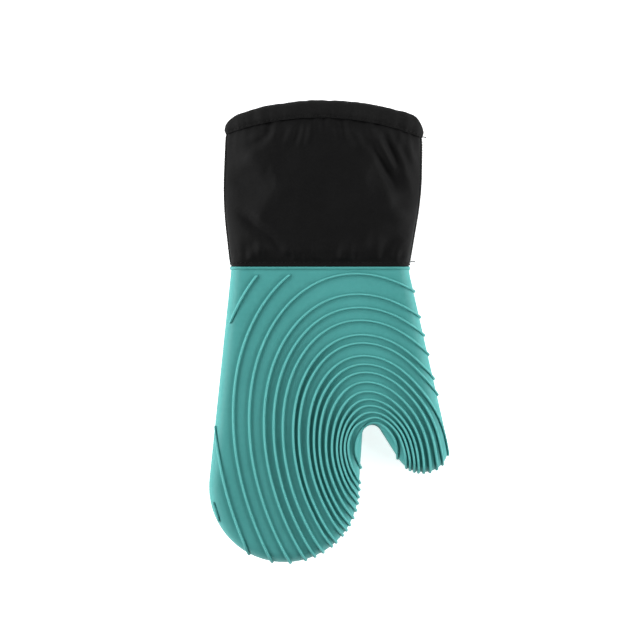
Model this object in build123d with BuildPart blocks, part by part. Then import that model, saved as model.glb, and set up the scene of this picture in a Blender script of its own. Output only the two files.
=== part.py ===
"""Oven mitt: a ribbed silicone hand with a padded fabric cuff, lying on its back.

+Y points towards the cuff's mouth, +X towards the thumb and +Z up through the thickness.
The origin is at the middle of the footprint, on the surface that the lowest ribs rest on.
The palm half is the upper one and the back half the lower one.
"""

from build123d import *
from math import cos, radians, sin
import os

# ---- Driving dimensions, mm ----
HALF_THICKNESS = 16.5       # from the mid-plane to the skin, without the ribs
EDGE_ROUND = 14.0           # roundness of the edge all round the mitt
RIB_HEIGHT = 2.0
RIB_WIDTH = 2.0
RIB_SPANS = 26              # spans of the curves along each side of a rib
MID_Z = HALF_THICKNESS + RIB_HEIGHT

WRIST_Y = 52.0              # the seam between silicone and fabric
RIB_TOP_Y = 47.5            # the ribs stop short of the seam
RIM_HEIGHT = 0.9            # raised band round the silicone's end
RIM_WIDTH = 2.1
FLANGE_LENGTH = 6.0         # thin silicone edge that is sewn inside the cuff
FLANGE_ROOT = 2.0           # how far the flange runs back into the silicone

# Depths below the skin at which each layer begins and ends.
LAYER_GAP = 0.1
SILICONE = (0.0, 1.7)
HAND_BATTING = (1.8, 4.7)
HAND_LINER = (4.8, 5.8)
CUFF_FABRIC = (0.0, 1.0)
FLANGE = (1.1, 1.7)
CUFF_BATTING = (1.1, 3.7)
CUFF_LINING = (3.8, 4.8)
BINDING_PROUD = 0.4         # the binding stands this far out of the cuff's fabric
BINDING_SLOT = (1.0, 4.9)   # depths between which it grips the batting and the lining
BINDING_DEPTH = 5.9
BINDING_FOLD = 1.4          # thickness of the fold over the mouth's edge

# Cutting regions reach past the mitt on every side.
FAR = 300.0
REGION_LOW = -10.0
REGION_HIGH = 2 * MID_Z + 10.0

# Outline as straight runs with rounded corners: (x, y, corner radius), anticlockwise from
# the mouth's left end. It runs past the mouth, which is cut to a bow afterwards.
PAST_MOUTH_Y = 200.0
OUTLINE_START = (-79.5, PAST_MOUTH_Y)
OUTLINE_CORNERS = [
    (-83.5, 105.0, 300.0),      # cuff, left
    (-77.6, WRIST_Y, 60.0),     # wrist, left
    (-102.2, -184.0, 60.4),     # fingertips, left
    (20.4, -184.0, 58.8),       # fingertips, right
    (28.6, -58.2, 7.6),         # crotch of the thumb
    (62.6, -112.0, 23.2),       # thumb tip, inner side
    (100.6, -112.0, 19.2),      # thumb tip, outer side
    (63.6, WRIST_Y, 40.0),      # wrist, right
    (73.5, 110.0, 250.0),       # cuff, right
]
OUTLINE_END = (74.5, PAST_MOUTH_Y)

# The bow of the mouth's edge and of the binding's lower edge: left, middle and right.
MOUTH_BOW = [(-81.2, 172.7), (-3.6, 185.0), (74.0, 172.7)]
BINDING_BOW = [(-80.4, 158.4), (-6.8, 170.8), (74.0, 155.2)]

# The thumb turns about an upright axis at the crotch.
THUMB_PIVOT = (33.2, -73.6)
THUMB_CUT_ANGLE = 26.0      # of the cut from the pivot to the outer edge
THUMB_CUT_LENGTH = 110.0
THUMB_CUT_GAP = 0.45
ROUND_THE_THUMB = [(140.0, -160.0), (56.0, -160.0), (41.0, -106.6)]
CUFF_GAP = 0.4

# Ribs: ripples round the crotch. Each master curve gives a radius at each bearing, from
# straight down on the finger side, clockwise over the top, to the thumb's outer side.
RIPPLE_CENTRE = (31.6, -76.8)
BEARINGS = (-180, -165, -135, -105, -75, -45, -15, 15, 45, 75, 105, 120, 135)
CROTCH_CURVE = (38.6, 29.5, 12.0, 6.0, 3.8, 3.1, 3.4, 4.3, 6.9, 11.2, 19.4, 26.0, 33.6)
INNER_CURVE = (53.0, 39.0, 22.6, 14.0, 9.7, 7.4, 7.1, 8.7, 11.8, 16.4, 25.7, 32.8, 43.5)
OUTER_CURVE = (178, 147, 109, 95.5, 97.3, 110.8, 123.9, 116.9, 104.8, 105.5, 117.6, 130, 141)
INNER_APEX = 7.8            # height of the inner curve's top above the centre
OUTER_APEX = 122.6
RIB_APEXES = (7.8, 12.7, 18.2, 23.3, 29.6, 37.0, 44.7, 51.1, 57.8, 67.9, 74.4, 85.8, 95.9,
              106.4, 122.6, 140.0, 159.5, 176.5)
# Patches beside the left edge that stay free of ribs: (x from, to), (y from, to).
BARE_PATCHES = [
    ((-FAR, -70.0), (26.0, RIB_TOP_Y)),
    ((-FAR, -76.0), (-66.0, 4.5)),
    ((-FAR, -92.0), (-133.0, -100.0)),
    ((-FAR, -76.0), (-FAR, -153.0)),
]

# Sewing thread
STITCH_RADIUS = 0.3
STITCH_LENGTH = 2.4
STITCH_PITCH = 3.6
STITCH_LIFT = 0.35          # from the fabric's surface to the middle of the thread
WRIST_STITCH_Y = WRIST_Y + 3.6
BINDING_STITCH_INSET = 1.5
STITCH_ROW_START = 0.11     # share of the bow that lies on the rounded edge at each end
SIDE_SEAM_PROUD = 0.9
SIDE_SEAM_HEIGHT = 2.4
STITCH_CLEARANCE = SIDE_SEAM_HEIGHT / 2 + STITCH_LENGTH
TAIL_RADIUS = 0.45

os.makedirs("parts", exist_ok=True)


# ---- Shared shapes ----
def mitt_body(depth):
    """The whole mitt's rounded block, all its faces moved inwards by depth."""
    half = HALF_THICKNESS - depth
    points = [(x, y) for x, y, _ in OUTLINE_CORNERS]
    radii = [radius for _, _, radius in OUTLINE_CORNERS]
    with BuildPart() as body:
        with BuildSketch(Plane.XY.offset(MID_Z - half)):
            with BuildLine():
                FilletPolyline(OUTLINE_START, *points, OUTLINE_END, radius=radii)
                Line(OUTLINE_END, OUTLINE_START)
            make_face()
            if depth:
                offset(amount=-depth, kind=Kind.INTERSECTION)
        extrude(amount=2 * half)
        levels = body.edges().group_by(Axis.Z)
        rims = [level.sort_by(Axis.Y)[:-1] for level in (levels[0], levels[-1])]
        fillet(rims[0] + rims[1], radius=EDGE_ROUND - depth)
    return body.part


def bow_region(bow, below):
    """Everything on one side of a bowed line across the cuff."""
    left, _, right = bow
    end_y = -FAR if below else FAR
    with BuildPart() as region:
        with BuildSketch(Plane.XY.offset(REGION_LOW)):
            with BuildLine():
                ThreePointArc(*bow)
                Polyline(right, (FAR, right[1]), (FAR, end_y), (-FAR, end_y), (-FAR, left[1]), left)
            make_face()
        extrude(amount=REGION_HIGH - REGION_LOW)
    return region.part


def block(x=(-FAR, FAR), y=(-FAR, FAR), z=(REGION_LOW, REGION_HIGH)):
    """A box between limits, and as large as any cutting region where none are given."""
    with BuildPart() as box:
        with BuildSketch(Plane.XY.offset(z[0])):
            with Locations(((x[0] + x[1]) / 2, (y[0] + y[1]) / 2)):
                Rectangle(x[1] - x[0], y[1] - y[0])
        extrude(amount=z[1] - z[0])
    return box.part


def thumb_region(gap):
    """The thumb's side of the cut, drawn back from it by a gap."""
    pivot_x, pivot_y = THUMB_PIVOT
    cut_end = (
        pivot_x + THUMB_CUT_LENGTH * cos(radians(THUMB_CUT_ANGLE)),
        pivot_y + THUMB_CUT_LENGTH * sin(radians(THUMB_CUT_ANGLE)),
    )
    with BuildPart() as region:
        with BuildSketch(Plane.XY.offset(REGION_LOW)):
            with BuildLine():
                Polyline(THUMB_PIVOT, cut_end, *ROUND_THE_THUMB, close=True)
            make_face()
            if gap:
                offset(amount=-gap, kind=Kind.INTERSECTION)
        extrude(amount=REGION_HIGH - REGION_LOW)
    return region.part


def rib_points(apex):
    """A rib's centre line, between or beyond the two master curves."""
    share = (apex - INNER_APEX) / (OUTER_APEX - INNER_APEX)
    radii = [inner + share * (outer - inner) for inner, outer in zip(INNER_CURVE, OUTER_CURVE)]
    return bearing_points(radii)


def bearing_points(radii):
    """Points round the ripple centre, one at each bearing."""
    centre_x, centre_y = RIPPLE_CENTRE
    return [
        (centre_x + radius * sin(radians(bearing)), centre_y + radius * cos(radians(bearing)))
        for bearing, radius in zip(BEARINGS, radii)
    ]


def beside(curve, distance):
    """Points along a curve in the XY plane, each a distance to its left."""
    shares = [number / RIB_SPANS for number in range(RIB_SPANS + 1)]
    return [curve @ share + (curve % share).rotate(Axis.Z, 90) * distance for share in shares]


def rib_bars():
    """All ribs, palm and back, as bars that reach through the mitt, cut to its outer shape."""
    centre_lines = [bearing_points(CROTCH_CURVE)] + [rib_points(apex) for apex in RIB_APEXES]
    with BuildPart() as bars:
        with BuildSketch(Plane.XY):
            for centre_line in centre_lines:
                with BuildLine():
                    middle = Spline(*centre_line, mode=Mode.PRIVATE)
                    left = Spline(*beside(middle, RIB_WIDTH / 2))
                    right = Spline(*beside(middle, -RIB_WIDTH / 2))
                    Line(left @ 0, right @ 0)
                    Line(left @ 1, right @ 1)
                make_face()
        extrude(amount=2 * MID_Z)
        add(mitt_body(-RIB_HEIGHT), mode=Mode.INTERSECT)
        add(below_rib_top, mode=Mode.INTERSECT)
        for x, y in BARE_PATCHES:
            add(block(x=x, y=y), mode=Mode.SUBTRACT)
    return bars.part


def layer(depths, *regions):
    """The skin between two depths, kept only inside all the regions."""
    start, end = depths
    with BuildPart() as skin:
        add(bodies[start])
        add(bodies[end], mode=Mode.SUBTRACT)
        for region in regions:
            add(region, mode=Mode.INTERSECT)
    return skin.part


def keep(part, name):
    """Name a finished piece and write it."""
    part.label = name
    export_step(part, f"parts/{name}.step")


def lowered(bow, distance):
    """The same bow, moved away from the mouth."""
    return [(x, y - distance) for x, y in bow]


def stitch(plane):
    """One straight stitch, its middle at the plane's origin, along the plane's normal."""
    with BuildPart() as thread:
        with BuildSketch(plane):
            Circle(STITCH_RADIUS)
        extrude(amount=STITCH_LENGTH / 2, both=True)
    return thread.part


def stitches_along(path, height=None):
    """A row of stitches along an edge or wire, at a pitch near the chosen one, clear of the side seams."""
    count = round(path.length / STITCH_PITCH)
    row = []
    for number in range(count):
        share = (number + 0.5) / count
        middle = path @ share
        if height is not None:
            middle = Vector(middle.X, middle.Y, height)
        if abs(middle.Z - MID_Z) > STITCH_CLEARANCE:
            row.append(stitch(Plane(origin=middle, z_dir=path % share)))
    return row


def binding_stitch_line(bow):
    """The bow of the binding's stitches, over the cuff's flat middle only."""
    with BuildLine() as line:
        ThreePointArc(*bow)
    return line.line.edge().trim(STITCH_ROW_START, 1 - STITCH_ROW_START)


def thread_tail(start, middle, end):
    """A short cut end of thread that curls in the mid-plane."""
    with BuildPart() as tail:
        with BuildLine(Plane.XY.offset(MID_Z)) as path:
            ThreePointArc(start, middle, end)
        with BuildSketch(Plane(origin=path.line @ 0, z_dir=path.line % 0)):
            Circle(TAIL_RADIUS)
        sweep()
    return tail.part


# ---- Regions that the layers are cut to ----
below_rib_top = block(y=(-FAR, RIB_TOP_Y))
below_wrist = block(y=(-FAR, WRIST_Y))
rim_zone = block(y=(WRIST_Y - RIM_WIDTH, WRIST_Y))
above_wrist = block(y=(WRIST_Y + CUFF_GAP, FAR))
flange_zone = block(y=(WRIST_Y - FLANGE_ROOT, WRIST_Y + FLANGE_LENGTH))
past_flange = block(y=(WRIST_Y + FLANGE_LENGTH + CUFF_GAP, FAR))
below_binding = bow_region(lowered(BINDING_BOW, LAYER_GAP), below=True)
above_binding_edge = bow_region(BINDING_BOW, below=False)
below_mouth = bow_region(MOUTH_BOW, below=True)
below_fold = bow_region(lowered(MOUTH_BOW, BINDING_FOLD), below=True)
below_layers_end = bow_region(lowered(MOUTH_BOW, BINDING_FOLD + LAYER_GAP), below=True)
halves = {
    "palm": block(z=(MID_Z + LAYER_GAP / 2, REGION_HIGH)),
    "back": block(z=(REGION_LOW, MID_Z - LAYER_GAP / 2)),
}
thumb_side = thumb_region(THUMB_CUT_GAP)
thumb_side_full = thumb_region(0)

# ---- The rounded block at every depth where a layer begins or ends ----
rim_depths = (-RIM_HEIGHT, SILICONE[1])
binding_depths = (-BINDING_PROUD, BINDING_DEPTH)
seam_depths = (-SIDE_SEAM_PROUD, -LAYER_GAP)
layer_depths = (SILICONE, HAND_BATTING, HAND_LINER, CUFF_FABRIC, FLANGE, CUFF_BATTING,
                CUFF_LINING, BINDING_SLOT, rim_depths, binding_depths, seam_depths)
bodies = {depth: mitt_body(depth) for depth in {depth for pair in layer_depths for depth in pair}}

# ---- Silicone: one ribbed skin with a raised rim, and a thin flange that goes inside the cuff ----
flange_skin = layer(FLANGE, flange_zone)
rim_band = layer(rim_depths, rim_zone)
ribs = rib_bars()

with BuildPart() as silicone_shell:
    add(bodies[SILICONE[0]])
    add(below_wrist, mode=Mode.INTERSECT)
    add(ribs)
    add(bodies[SILICONE[1]], mode=Mode.SUBTRACT)
    add(rim_band)

with BuildPart() as silicone_hand_shell:
    add(silicone_shell.part)
    add(flange_skin)
    add(thumb_side_full, mode=Mode.SUBTRACT)
keep(silicone_hand_shell.part, "silicone_hand_shell")

with BuildPart() as silicone_thumb_shell:
    add(silicone_shell.part)
    add(thumb_side, mode=Mode.INTERSECT)
keep(silicone_thumb_shell.part, "silicone_thumb_shell")

# ---- Quilted layers inside the hand and the thumb, each sewn from a palm and a back half ----
for half_name, half in halves.items():
    for layer_name, depths in (("batting", HAND_BATTING), ("liner", HAND_LINER)):
        skin = layer(depths, below_wrist, half)
        with BuildPart() as hand_layer:
            add(skin)
            add(thumb_side_full, mode=Mode.SUBTRACT)
        keep(hand_layer.part, f"hand_{layer_name}_{half_name}")
        with BuildPart() as thumb_layer:
            add(skin)
            add(thumb_side, mode=Mode.INTERSECT)
        keep(thumb_layer.part, f"thumb_{layer_name}_{half_name}")

# ---- Cuff: outer fabric, batting and lining, each a palm and a back panel ----
cuff_layers = (
    ("panel", CUFF_FABRIC, (above_wrist, below_binding)),
    ("batting", CUFF_BATTING, (past_flange, below_layers_end)),
    ("lining", CUFF_LINING, (above_wrist, below_layers_end)),
)
for half_name, half in halves.items():
    for layer_name, depths, regions in cuff_layers:
        with BuildPart() as cuff_layer:
            add(layer(depths, half, *regions))
        keep(cuff_layer.part, f"cuff_{layer_name}_{half_name}")

# ---- Mouth binding: one folded strip that grips the edges of the batting and lining ----
binding_slot = layer(BINDING_SLOT, below_fold)
with BuildPart() as mouth_binding:
    add(layer(binding_depths, above_binding_edge, below_mouth))
    add(binding_slot, mode=Mode.SUBTRACT)
keep(mouth_binding.part, "mouth_binding")

# ---- Side seams: overlocked edges where the cuff's two panels meet ----
seam_height = block(z=(MID_Z - SIDE_SEAM_HEIGHT / 2, MID_Z + SIDE_SEAM_HEIGHT / 2))
sides = {"left": block(x=(-FAR, 0)), "right": block(x=(0, FAR))}
for side_name, side in sides.items():
    with BuildPart() as side_seam:
        add(layer(seam_depths, seam_height, above_wrist, below_binding, side))
    keep(side_seam.part, f"side_seam_{side_name}")

# ---- Sewing thread: a row round the wrist seam, and one along the binding on each face ----
thread_skin = mitt_body(-STITCH_LIFT)
wrist_section = section(thread_skin, section_by=Plane.XZ.offset(-WRIST_STITCH_Y))
with BuildPart() as wrist_seam_stitching:
    for thread in stitches_along(wrist_section.face().outer_wire()):
        add(thread)
keep(wrist_seam_stitching.part, "wrist_seam_stitching")

stitch_height = HALF_THICKNESS + BINDING_PROUD + STITCH_LIFT
stitch_bow = lowered(BINDING_BOW, -BINDING_STITCH_INSET)
with BuildPart() as binding_stitching:
    for height in (MID_Z - stitch_height, MID_Z + stitch_height):
        for thread in stitches_along(binding_stitch_line(stitch_bow), height):
            add(thread)
keep(binding_stitching.part, "binding_stitching")

# ---- Thread tails: the cut ends of the two side-seam threads ----
with BuildPart() as thread_tails:
    add(thread_tail((75.3, 155.6), (77.0, 155.9), (78.4, 154.9)))
    add(thread_tail((65.8, 56.0), (67.6, 56.6), (69.2, 56.3)))
keep(thread_tails.part, "thread_tails")
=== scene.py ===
"""Looks of the oven mitt: ribbed silicone hand, padded fabric cuff, quilted lining.

Lengths are millimetres in the CAD model's frame: +Y towards the cuff's mouth, +X towards the
thumb, +Z up, lying on z = 0. Materials, lights and the camera are in metres.
"""

import math

import bmesh
import bpy
import numpy as np
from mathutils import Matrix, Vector, noise
from mathutils.geometry import delaunay_2d_cdt


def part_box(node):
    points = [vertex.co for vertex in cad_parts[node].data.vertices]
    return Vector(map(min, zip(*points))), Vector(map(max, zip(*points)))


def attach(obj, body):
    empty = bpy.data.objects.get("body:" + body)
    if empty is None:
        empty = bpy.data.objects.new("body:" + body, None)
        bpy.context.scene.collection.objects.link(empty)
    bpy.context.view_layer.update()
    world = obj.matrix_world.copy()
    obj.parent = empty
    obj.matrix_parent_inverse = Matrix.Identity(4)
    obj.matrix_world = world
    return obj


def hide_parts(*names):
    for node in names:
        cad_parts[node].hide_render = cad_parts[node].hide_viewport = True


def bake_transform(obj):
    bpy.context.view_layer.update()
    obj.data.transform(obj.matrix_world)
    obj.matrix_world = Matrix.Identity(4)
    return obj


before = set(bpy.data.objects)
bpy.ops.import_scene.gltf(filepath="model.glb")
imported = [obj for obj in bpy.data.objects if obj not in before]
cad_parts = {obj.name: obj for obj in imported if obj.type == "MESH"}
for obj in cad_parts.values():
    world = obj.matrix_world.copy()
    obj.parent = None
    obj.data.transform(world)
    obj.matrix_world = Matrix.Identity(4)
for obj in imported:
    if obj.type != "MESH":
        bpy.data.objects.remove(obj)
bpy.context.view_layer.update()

MM = 0.001

# ---- Sizes that the frame gives ----
shell_low, shell_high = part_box("silicone_hand_shell")
MID_Z = (shell_low.z + shell_high.z) / 2 / MM
RIB_HEIGHT = 2.0
HALF_THICKNESS = MID_Z - RIB_HEIGHT
WRIST_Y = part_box("hand_liner_palm")[1].y / MM

# ---- Outline: straight runs with rounded corners (x, y, radius), from the mouth's left end ----
PAST_MOUTH_Y = 200.0
OUTLINE = [
    (-79.5, PAST_MOUTH_Y, 0),
    (-83.5, 105, 300),
    (-77.6, WRIST_Y, 60),
    (-102.2, -184, 60.4),
    (20.4, -184, 58.8),
    (28.6, -58.2, 7.6),
    (62.6, -112, 23.2),
    (100.6, -112, 19.2),
    (63.6, WRIST_Y, 40),
    (73.5, 110, 250),
    (74.5, PAST_MOUTH_Y, 0),
]
MOUTH_BOW = [(-81.2, 172.7), (-3.6, 185.0), (74.0, 172.7)]
BINDING_BOW = [(-80.4, 158.4), (-6.8, 170.8), (74.0, 155.2)]
MESH_STEP = 2.2  # between points of the outline in a mesh
FINE_STEP = 0.8  # and for measuring distances
CORNER_TURN = 0.12  # most that the outline turns between two points

# ---- Section: a squarish ellipse at the edge, flat in the middle ----
EDGE_ZONE = 14.0  # from the outline to where the face is level
CROTCH_ZONE = 4.5  # the same at the crotch of the thumb
THINNEST_ZONE = 1.0  # the same on the inner faces of the layers
CROTCH_REACH = 24.0  # how far round the crotch it stays narrow
EDGE_POWER = 2.9
EDGE_STEPS = 11

# ---- Silicone ----
SKIN = 1.7
PAST_END = 20.0  # how far a hollow goes past the end of what it is cut from
SILICONE_CREASE = 55.0
FLANGE_DEPTH = 1.1
FLANGE_END_Y = WRIST_Y + 6.0
FLANGE_START_Y = WRIST_Y - 4.0
FILL_SPACING = 4.5
ROW_PITCH = 0.87  # rows of points this share of the spacing apart make even triangles

# ---- Ribs: ripples round the crotch of the thumb ----
RIPPLE_CENTRE = np.array((31.6, -76.8))
BEARINGS = (-180, -165, -135, -105, -75, -45, -15, 15, 45, 75, 105, 120, 135)
CROTCH_CURVE = (38.6, 29.5, 12.0, 6.0, 3.8, 3.1, 3.4, 4.3, 6.9, 11.2, 19.4, 26.0, 33.6)
INNER_CURVE = (53.0, 39.0, 22.6, 14.0, 9.7, 7.4, 7.1, 8.7, 11.8, 16.4, 25.7, 32.8, 43.5)
OUTER_CURVE = (178, 147, 109, 95.5, 97.3, 110.8, 123.9, 116.9, 104.8, 105.5, 116.5, 128, 140)
LAST_BEARING = 142.0  # the curves run on to here, where every rib has left the thumb
INNER_APEX = 7.8
OUTER_APEX = 122.6
RIB_APEXES = (7.8, 12.7, 18.2, 23.3, 29.6, 37.0, 44.7, 51.1, 57.8, 67.9, 74.4, 85.8, 95.9,
              106.4, 122.6, 140.0, 159.5, 176.5)
RIB_POINTS = 1400
RIB_TOP_Y = 47.5
RIB_ROOT = -2.2  # how deep a rib's foot is sunk into the skin
# Half of the rib's cross-section, from the foot to the crest: (out to the side, up).
RIB_FLANK = [(1.08, RIB_ROOT), (1.0, 0.15), (0.86, 1.1), (0.66, 1.62), (0.34, 1.91)]
WALL_SPREAD = 0.35  # how much wider a rib is on the steep edge than on the face
WALL_DROP = 0.14  # and how much lower
RIB_TAPER = 3.6  # length over which a rib that ends on the face sinks into it
RIB_LEAN = 0.2  # share of the face's tilt that a rib running beside the edge follows
WRAP_TURN = 0.3  # a rib that meets the outline more squarely than this wraps round it
END_DEPTH = 0.5  # and any other ends this far inside the outline
RIB_END_WIDTH = 0.35  # share of its width left at such an end
RIB_END_DROP = 0.3  # how much deeper its foot is there
RIB_SAMPLE = 0.5  # first even division of a rib's path
RIB_TURN = 0.24  # most that a rib turns between two stations, in radians
RIB_STEPS = (0.9, 2.3)  # shortest and longest distance between stations
RIB_END_STEP = 0.6  # and the longest near an end on the face
# Points of a rib's line just inside the outline, and where its even points go on.
CROWDED = (0.0, 0.004, 0.015, 0.04, 0.09, 0.18)
CROWDED_END = 0.25
RIM_Y = WRIST_Y - 1.05  # middle of the raised rim at the silicone's end
RIM_FLANK = [(1.15, RIB_ROOT), (1.05, 0.3), (0.75, 0.95)]
RIM_HEIGHT = 1.25
RIM_REACH = 100.0  # past the outline on both sides
# Patches beside the left edge that stay free of ribs: (x from, to), (y from, to).
BARE_PATCHES = [
    ((-120, -70), (26, 49)),
    ((-120, -76), (-66, 4.5)),
    ((-120, -92), (-133, -100)),
    ((-120, -76), (-200, -153)),
]


# ---- Curves ----
def smooth_curve(knots, values, at):
    """A natural cubic spline through values at the knots, read at other points."""
    knots, values = np.asarray(knots, float), np.asarray(values, float)
    gaps = np.diff(knots)
    slopes = np.diff(values) / gaps
    matrix = np.eye(len(knots))
    right = np.zeros(len(knots))
    for i in range(1, len(knots) - 1):
        matrix[i, i - 1:i + 2] = gaps[i - 1], 2 * (gaps[i - 1] + gaps[i]), gaps[i]
        right[i] = 6 * (slopes[i] - slopes[i - 1])
    bend = np.linalg.solve(matrix, right)
    i = np.clip(np.searchsorted(knots, at) - 1, 0, len(gaps) - 1)
    after, before = knots[i + 1] - at, at - knots[i]
    curved = (bend[i] * after**3 + bend[i + 1] * before**3) / (6 * gaps[i])
    level = (values[i] / gaps[i] - bend[i] * gaps[i] / 6) * after
    return curved + level + (values[i + 1] / gaps[i] - bend[i + 1] * gaps[i] / 6) * before


def smoothstep(share):
    """An even rise from 0 to 1."""
    share = np.clip(share, 0, 1)
    return share * share * (3 - 2 * share)


def unit(vectors):
    """Vectors made one long."""
    return vectors / np.linalg.norm(vectors, axis=-1, keepdims=True)


def lengths_along(path):
    """How far along a path each of its points lies."""
    return np.concatenate([[0], np.cumsum(np.linalg.norm(np.diff(path, axis=0), axis=1))])


def read_path(at, along, path):
    """A path's points at other lengths along it."""
    return np.stack([np.interp(at, along, axis) for axis in path.T], axis=1)


def circle_through(points):
    """Centre and radius of the circle through three points."""
    (ax, ay), (bx, by), (cx, cy) = points
    matrix = np.array([[bx - ax, by - ay], [cx - ax, cy - ay]]) * 2
    right = np.array([bx**2 - ax**2 + by**2 - ay**2, cx**2 - ax**2 + cy**2 - ay**2])
    centre = np.linalg.solve(matrix, right)
    return centre, math.hypot(centre[0] - ax, centre[1] - ay)


def bow_y(bow, x):
    """Height of a bowed line over x. Past its ends it goes on level."""
    centre, radius = circle_through(bow)
    x = np.clip(x, bow[0][0], bow[2][0])
    return centre[1] + np.sqrt(radius**2 - (x - centre[0])**2)


def rounded_path(corners, step):
    """Points and directions along straight runs with rounded corners."""
    places, headings = [], []

    def add(place, heading):
        places.append(place)
        headings.append(unit(heading))

    corner_points = [np.array(c[:2]) for c in corners]
    begin = corner_points[0]
    for i in range(1, len(corners)):
        here = corner_points[i]
        towards = unit(here - corner_points[i - 1])
        radius = corners[i][2]
        run_end = here
        if radius:
            onwards = unit(corner_points[i + 1] - here)
            cross = towards[0] * onwards[1] - towards[1] * onwards[0]
            turn = math.atan2(cross, towards @ onwards)
            run_end = here - towards * radius * math.tan(abs(turn) / 2)
        count = max(1, round(np.linalg.norm(run_end - begin) / step))
        for share in np.arange(count) / count:
            add(begin + (run_end - begin) * share, towards)
        begin = run_end
        if radius:
            side = math.copysign(1.0, turn)
            centre = run_end + side * radius * np.array((-towards[1], towards[0]))
            count = math.ceil(abs(turn) * max(radius / step, 1 / CORNER_TURN))
            for share in np.arange(count) / count:
                angle = turn * share
                spoke = rotated(run_end - centre, angle)
                add(centre + spoke, rotated(towards, angle))
            begin = centre + rotated(run_end - centre, turn)
    add(corner_points[-1], towards)
    return np.array(places), np.array(headings)


def rotated(vector, angle):
    """A flat vector turned anticlockwise."""
    cos, sin = math.cos(angle), math.sin(angle)
    return np.array((vector[0] * cos - vector[1] * sin, vector[0] * sin + vector[1] * cos))


def outward(headings):
    """Directions out of the mitt beside a path that keeps the mitt on its left."""
    return np.stack([headings[:, 1], -headings[:, 0]], axis=1)


EDGE_POINTS, EDGE_HEADINGS = rounded_path(OUTLINE, MESH_STEP)
FINE_POINTS, FINE_HEADINGS = rounded_path(OUTLINE, FINE_STEP)
FINE_OUTWARD = outward(FINE_HEADINGS)


def edge_zone(points):
    """Width of the rounded zone inside the outline's points."""
    near = np.exp(-((points - RIPPLE_CENTRE)**2).sum(1) / CROTCH_REACH**2)
    return EDGE_ZONE + (CROTCH_ZONE - EDGE_ZONE) * near


FINE_ZONES = edge_zone(FINE_POINTS)
MEASURED_AT_ONCE = 2000


def edge_distance(points):
    """Distance inside the outline, negative outside it, the outward direction and the zone there."""
    points = np.asarray(points, float)
    depth, zone = np.empty(len(points)), np.empty(len(points))
    direction = np.empty((len(points), 2))
    starts = FINE_POINTS[:-1]
    runs = FINE_POINTS[1:] - starts
    squares = (runs**2).sum(1)
    for first in range(0, len(points), MEASURED_AT_ONCE):
        block = slice(first, first + MEASURED_AT_ONCE)
        part = points[block]
        offset = part[:, None] - starts[None]
        share = np.clip((offset * runs).sum(2) / squares, 0, 1)
        gap = offset - share[:, :, None] * runs
        squared = (gap**2).sum(2)
        nearest = squared.argmin(1)
        rows = np.arange(len(part))
        weight = share[rows, nearest][:, None]
        normal = unit(FINE_OUTWARD[nearest] * (1 - weight) + FINE_OUTWARD[nearest + 1] * weight)
        sign = -np.sign((gap[rows, nearest] * normal).sum(1))
        depth[block] = sign * np.sqrt(squared[rows, nearest])
        direction[block] = normal
        zone[block] = FINE_ZONES[nearest]
    return depth, direction, zone


def section(depth, zone):
    """Half thickness of the mitt at a distance inside its outline, and its slope there."""
    fall = np.clip(1 - depth / zone, 0, 1)
    rest = np.clip(1 - fall**EDGE_POWER, 1e-9, 1)
    height = HALF_THICKNESS * rest**(1 / EDGE_POWER)
    slope = HALF_THICKNESS / zone * fall**(EDGE_POWER - 1) * rest**(1 / EDGE_POWER - 1)
    return height, slope


# ---- Meshes ----
def new_object(name, points, faces):
    """An object from points in millimetres and faces."""
    mesh = bpy.data.meshes.new(name)
    mesh.from_pydata([tuple(p) for p in np.asarray(points) * MM], [], faces)
    mesh.update()
    made = bpy.data.objects.new(name, mesh)
    bpy.context.scene.collection.objects.link(made)
    return made


def boolean(target, tool, operation):
    """Joins two closed objects or cuts one with the other, and removes the tool."""
    modifier = target.modifiers.new("boolean", "BOOLEAN")
    modifier.operation = operation
    modifier.object = tool
    modifier.solver = "MANIFOLD"
    graph = bpy.context.evaluated_depsgraph_get()
    mesh = bpy.data.meshes.new_from_object(target.evaluated_get(graph))
    target.modifiers.clear()
    target.data = mesh
    bpy.data.objects.remove(tool)
    return target


def smooth(obj, angle=60.0):
    """Smooth shading that keeps creases sharper than an angle."""
    for polygon in obj.data.polygons:
        polygon.use_smooth = True
    obj.data.set_sharp_from_angle(angle=math.radians(angle))
    return obj


def reworked(obj, change=None):
    """An object whose mesh is changed by a function, with all its faces turned outwards."""
    work = bmesh.new()
    work.from_mesh(obj.data)
    if change:
        change(work)
    bmesh.ops.recalc_face_normals(work, faces=work.faces[:])
    work.to_mesh(obj.data)
    work.free()
    return obj


def cut_across(obj, y, keep_below=True):
    """Cuts a closed object at a height y and closes the cut."""
    normal = (0, 1, 0) if keep_below else (0, -1, 0)

    def cut(work):
        parts = work.verts[:] + work.edges[:] + work.faces[:]
        bmesh.ops.bisect_plane(work, geom=parts, plane_co=(0, y * MM, 0), plane_no=normal,
                               clear_outer=True)
        rim = [edge for edge in work.edges if len(edge.link_faces) == 1]
        bmesh.ops.edgeloop_fill(work, edges=rim)

    return reworked(obj, cut)


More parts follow.
